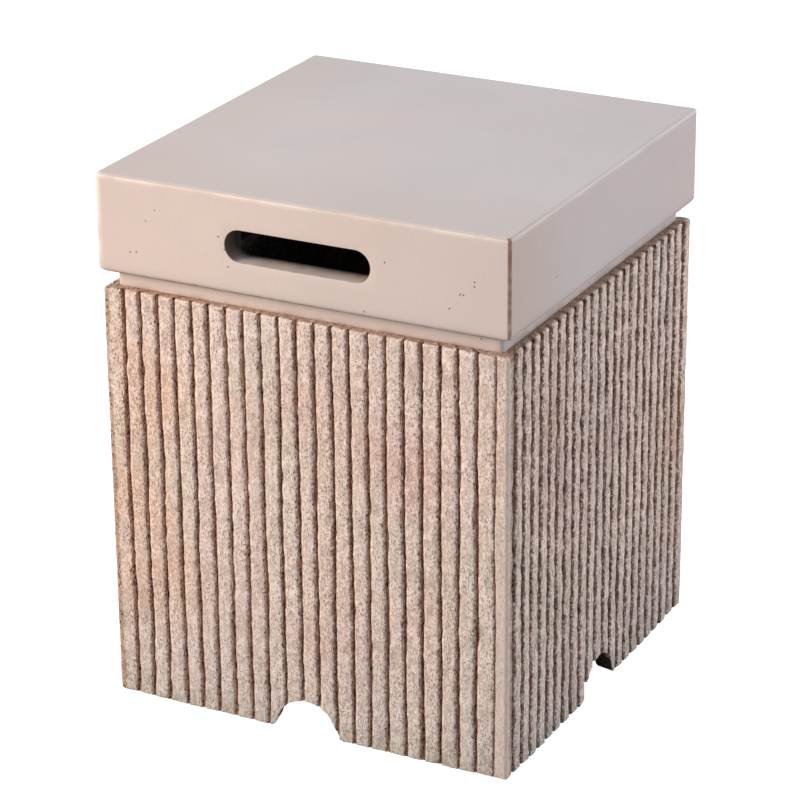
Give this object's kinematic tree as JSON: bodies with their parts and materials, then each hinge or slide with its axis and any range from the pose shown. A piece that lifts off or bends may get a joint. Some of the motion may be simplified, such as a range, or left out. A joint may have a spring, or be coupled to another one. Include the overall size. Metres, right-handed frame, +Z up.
{
  "type": "propane tank cover table",
  "caption": "Square outdoor side table with a vertically ribbed hollow body and a smooth lift-off lid with handle slots; it hides a propane cylinder and has a hose arch on every side.",
  "frame": {"origin": "on the floor, under the middle of the body", "axes": "+Z up, -Y and +Y towards the faces with the handle slots"},
  "size_m": [0.4, 0.4, 0.504],
  "materials": {
    "ribbed_stone": "rough sandy cast stone with a brown wash in the grooves",
    "smooth_stone": "smooth trowelled cast stone, matt, with a few pinholes",
    "black_rubber": "matt rubber"
  },
  "bodies": {
    "base": {"body_shell": "ribbed_stone", "seat_pad_1": "black_rubber", "seat_pad_2": "black_rubber", "seat_pad_3": "black_rubber", "seat_pad_4": "black_rubber", "foot_pad_1": "black_rubber", "foot_pad_2": "black_rubber", "foot_pad_3": "black_rubber", "foot_pad_4": "black_rubber"},
    "cover": {"lid": "smooth_stone"}
  },
  "joints": [
    {"name": "lid_lift", "type": "slide", "parent": "base", "child": "cover", "axis": [0, 0, 1], "range_m": [0, 0.25]}
  ]
}
